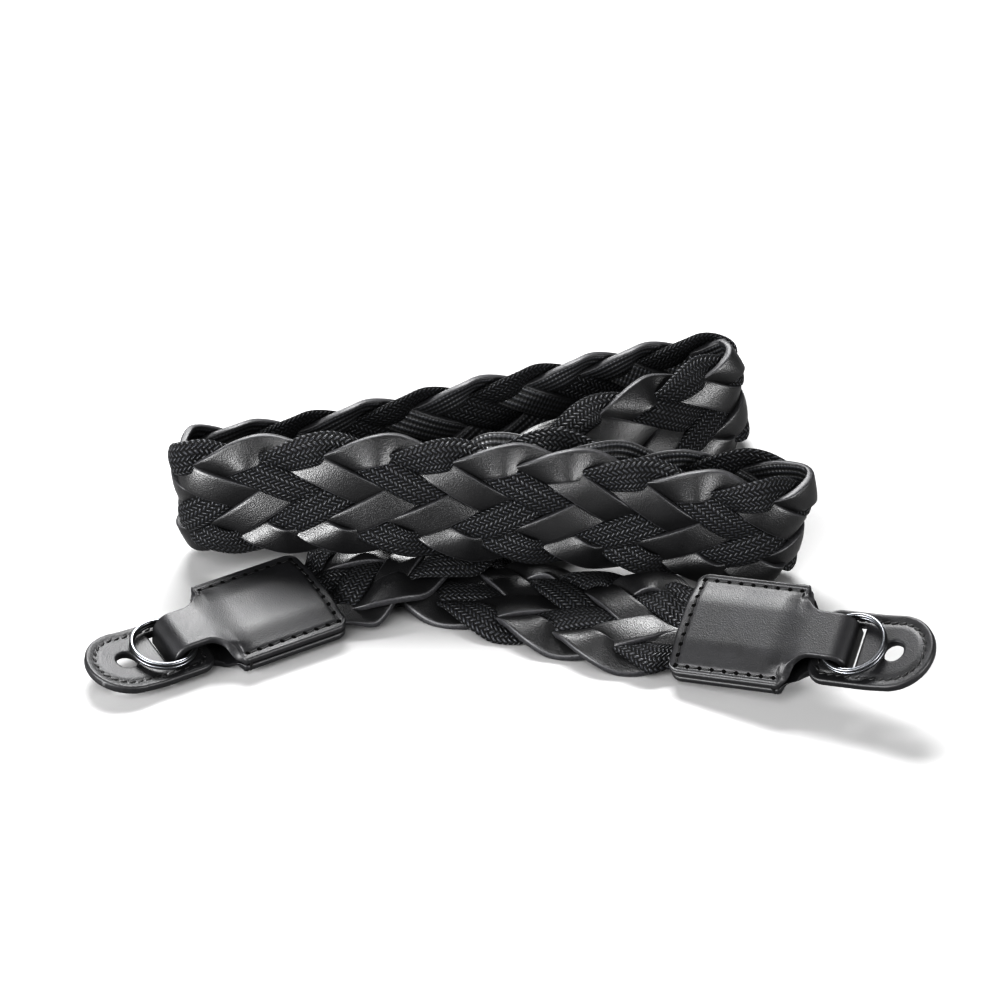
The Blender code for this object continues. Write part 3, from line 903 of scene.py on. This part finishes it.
def guard_line(inset, step_mm=0.6):
    """The guard's outline moved inwards, as points round a half circle and two rounded corners."""
    half = guard_width / 2 - inset
    centre = guard_end - guard_width / 2
    start = guard_start + inset
    corner = max(guard_corner - inset, 0.0006)
    points = []

    def arc(cx, cy, radius, first, last):
        count = max(4, int(abs(last - first) * radius / (step_mm * MM)))
        for k in range(count + 1):
            angle = first + (last - first) * k / count
            points.append((cx + radius * math.cos(angle), cy + radius * math.sin(angle)))

    arc(centre, 0, half, -math.pi / 2, math.pi / 2)
    arc(start + corner, half - corner, corner, math.pi / 2, math.pi)
    arc(start + corner, corner - half, corner, math.pi, 1.5 * math.pi)
    return points


def along_line(points, pitch):
    """Points and directions evenly spaced round a closed line."""
    closed = np.array(points + points[:1])
    run = np.concatenate([[0], np.cumsum(np.linalg.norm(np.diff(closed, axis=0), axis=1))])
    count = round(run[-1] / pitch)
    where = (np.arange(count) + 0.5) * run[-1] / count
    here = np.stack([np.interp(where, run, closed[:, i]) for i in (0, 1)], axis=-1)
    ahead = np.stack([np.interp(where + 0.0003, run, closed[:, i], period=run[-1]) for i in (0, 1)], axis=-1)
    back = np.stack([np.interp(where - 0.0003, run, closed[:, i], period=run[-1]) for i in (0, 1)], axis=-1)
    return here, unit(ahead - back)


def drooped(side, point):
    """A point of the flat guard after it is bent down towards its tip."""
    droop = math.radians(guard_droop[side])
    past = point[0] - guard_bend_start
    curved = min(max(past, 0), guard_bend_length)
    angle = droop * curved / guard_bend_length
    straight = max(past - guard_bend_length, 0)
    x = point[0] + point[2] * math.sin(angle)
    z = point[2] * math.cos(angle) - curved * math.sin(angle / 2) - straight * math.sin(droop)
    return Vector((x, point[1], z + guard_level))


def loop_edges(bm, outline, height):
    loop = [bm.verts.new((x, y, height)) for x, y in outline]
    return [bm.edges.new((loop[i], loop[(i + 1) % len(loop)])) for i in range(len(loop))]


def groove(away, depth, half_width):
    """How deep a groove presses the leather in at a distance from its middle."""
    return depth * math.exp(-(away / half_width) ** 2)


def lug_guard(side):
    bm = bmesh.new()
    centre = guard_end - guard_width / 2
    radius = lug_hole_diameter / 2
    start = ring_centre - leather_wall - fit_gap
    half = neck_width / 2 + 0.0001
    angles = np.linspace(0, 2 * math.pi, 48, endpoint=False)
    hole = [(centre + radius * math.cos(angle), radius * math.sin(angle)) for angle in angles]
    slot = [(start, -half), (start + slot_length, -half), (start + slot_length, half), (start, half)]
    edges = loop_edges(bm, guard_line(0), -guard_thickness / 2)
    edges += loop_edges(bm, hole, -guard_thickness / 2)
    edges += loop_edges(bm, slot, -guard_thickness / 2)
    bmesh.ops.triangle_fill(bm, use_beauty=True, edges=edges)
    raised = bmesh.ops.extrude_face_region(bm, geom=list(bm.faces), use_keep_orig=True)
    verts = [item for item in raised["geom"] if isinstance(item, bmesh.types.BMVert)]
    bmesh.ops.translate(bm, vec=(0, 0, guard_thickness), verts=verts)
    bmesh.ops.recalc_face_normals(bm, faces=bm.faces)
    rims = [edge for edge in bm.edges if len(edge.link_faces) == 2 and edge.calc_face_angle() > 1.2
            and abs(edge.verts[0].co.z - edge.verts[1].co.z) < 1e-6]
    bmesh.ops.bevel(bm, geom=rims, offset=guard_bevel, segments=4, profile=0.5, affect="EDGES", material=-1)
    for step in np.arange(guard_start + guard_grid, guard_end, guard_grid):
        geometry = list(bm.verts) + list(bm.edges) + list(bm.faces)
        bmesh.ops.bisect_plane(bm, geom=geometry, plane_co=(step, 0, 0), plane_no=(1, 0, 0))
    for step in np.arange(-guard_width / 2 + guard_grid, guard_width / 2, guard_grid):
        geometry = list(bm.verts) + list(bm.edges) + list(bm.faces)
        bmesh.ops.bisect_plane(bm, geom=geometry, plane_co=(0, step, 0), plane_no=(0, 1, 0))
    line = along_line(guard_line(guard_stitch_inset, 0.3), 0.0003)[0]
    crease_line = along_line(guard_line(guard_rim_inset, 0.3), 0.0003)[0]
    for vert in bm.verts:
        flat = vert.co.copy()
        if abs(abs(flat.z) - guard_thickness / 2) < 1e-5:
            near = np.min(np.hypot(line[:, 0] - flat.x, line[:, 1] - flat.y))
            rim = np.min(np.hypot(crease_line[:, 0] - flat.x, crease_line[:, 1] - flat.y))
            dent = groove(near, *SEAM_GROOVE) + groove(rim, *RIM_GROOVE)
            flat.z -= math.copysign(dent, flat.z)
        vert.co = drooped(side, flat)
    bmesh.ops.transform(bm, matrix=Matrix.Translation(place) @ end_frame(side), verts=bm.verts)
    up = end_frame(side).to_3x3() @ Vector((0, 0, 1))
    bm.normal_update()
    for face in bm.faces:
        face.smooth = True
        face.material_index = 1 if abs(face.normal.dot(up)) < 0.75 else 0
    name = side + "_guard_leather"
    piece = new_piece(name, mesh_from(bm, name), [tab_leather, painted_edge])
    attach(piece, "root")
    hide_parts(side + "_guard")
    return piece


def guard_stitches(side):
    bm = bmesh.new()
    here, ahead = along_line(guard_line(guard_stitch_inset, 0.3), guard_stitch_pitch)
    slant = math.radians(20)
    for face in (1, -1):
        for (x, y), (dx, dy) in zip(here, ahead):
            flat = Vector((x, y, face * (guard_thickness / 2 - 0.0002)))
            middle = drooped(side, flat)
            along = drooped(side, flat + Vector((dx, dy, 0)) * 0.0004) - middle
            beside = drooped(side, flat + Vector((-dy, dx, 0)) * 0.0004) - middle
            up = along.cross(beside).normalized() * face
            turned = Matrix.Rotation(slant, 3, up) @ along
            add_stitch(bm, middle, turned, up, *GUARD_STITCH)
    return finish_stitches(bm, side + "_guard_stitches", side)


# Split rings


def split_ring(side):
    """Two turns of flattened spring wire, stepping from the lower coil to the upper one."""
    around_count = 16
    x, z = rounded_section(ring_wire, ring_wire * 0.88, 2.5, around_count)
    turns = 1.97
    count = 220
    matrix = Matrix.Translation(place) @ end_frame(side) @ ring_pose()
    start = math.pi

    def shape(along, around):
        index = np.rint(around * around_count).astype(int) % around_count
        angle = start + along * turns * 2 * math.pi
        climb = smooth((along * turns - 0.93) / 0.12)
        radius = (ring_diameter - ring_wire) / 2 + x[index]
        height = ring_wire / 2 + climb * ring_wire + z[index]
        points = np.stack([radius * np.cos(angle), radius * np.sin(angle), height], axis=-1)
        solid = np.array(matrix)
        return points @ solid[:3, :3].T + solid[:3, 3]

    piece = shaped_grid(side + "_split_ring", count, around_count, shape, [steel])
    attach(piece, "root")
    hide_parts(side + "_ring")
    return piece


for side in ("left", "right"):
    end_tab(side)
    tab_stitches(side)
    lug_guard(side)
    guard_stitches(side)
    split_ring(side)

# Stage, light and camera


def stage_floor():
    material, tree, shader = new_material("matt_pale_floor", Roughness=0.9, Specular_IOR_Level=0.0)
    shader.inputs["Base Color"].default_value = colour("#7c7c7c")
    bm = bmesh.new()
    bmesh.ops.create_grid(bm, x_segments=1, y_segments=1, size=6)
    bmesh.ops.translate(bm, vec=(0, 0, cad_low.z - 0.0002), verts=bm.verts)
    floor = new_piece("floor", mesh_from(bm, "floor"), [material])


def soft_light(name, where, target, size, power):
    lamp = bpy.data.lights.new(name, "AREA")
    lamp.shape = "RECTANGLE"
    lamp.size, lamp.size_y = size
    lamp.energy = power
    item = bpy.data.objects.new(name, lamp)
    item.location = where
    item.rotation_euler = (Vector(target) - Vector(where)).to_track_quat("-Z", "Y").to_euler()
    bpy.context.scene.collection.objects.link(item)


stage_floor()
world = bpy.data.worlds.new("studio")
world.use_nodes = True
world.node_tree.nodes["Background"].inputs["Color"].default_value = (1, 1, 1, 1)
world.node_tree.nodes["Background"].inputs["Strength"].default_value = 0.15
bpy.context.scene.world = world
bpy.context.scene.view_settings.view_transform = "Standard"
bpy.context.scene.view_settings.exposure = 0.0
bpy.context.scene.view_settings.gamma = 0.62

soft_light("top_softbox", (-0.05, 0.62, 0.90), (0, 0.02, 0.01), (0.6, 0.4), 54.0)
soft_light("back_softbox", (-0.35, 0.95, 0.36), (0, 0.02, 0.01), (0.5, 0.3), 9.0)
soft_light("left_softbox", (-0.80, -0.62, 0.26), (0, 0.02, 0.015), (0.66, 0.52), 68.0)
soft_light("right_softbox", (0.82, -0.56, 0.24), (0, 0.05, 0.015), (0.50, 0.40), 34.0)
soft_light("front_softbox", (-0.20, -0.80, 0.86), (0, 0.04, 0.015), (0.5, 0.4), 18.0)

# The photograph's view: straight along +Y, looking down by the elevation, from a long lens
elevation = math.radians(33.0)
target = Vector((0.0, 0.061, 0.012)) + place
distance = 0.850
lens = bpy.data.cameras.new("camera")
lens.sensor_width = 36
lens.lens = 134.0
camera = bpy.data.objects.new("camera", lens)
camera.location = target - Vector((0, math.cos(elevation), -math.sin(elevation))) * distance
camera.rotation_euler = (math.pi / 2 - elevation, 0, 0)
bpy.context.scene.collection.objects.link(camera)
bpy.context.scene.camera = camera
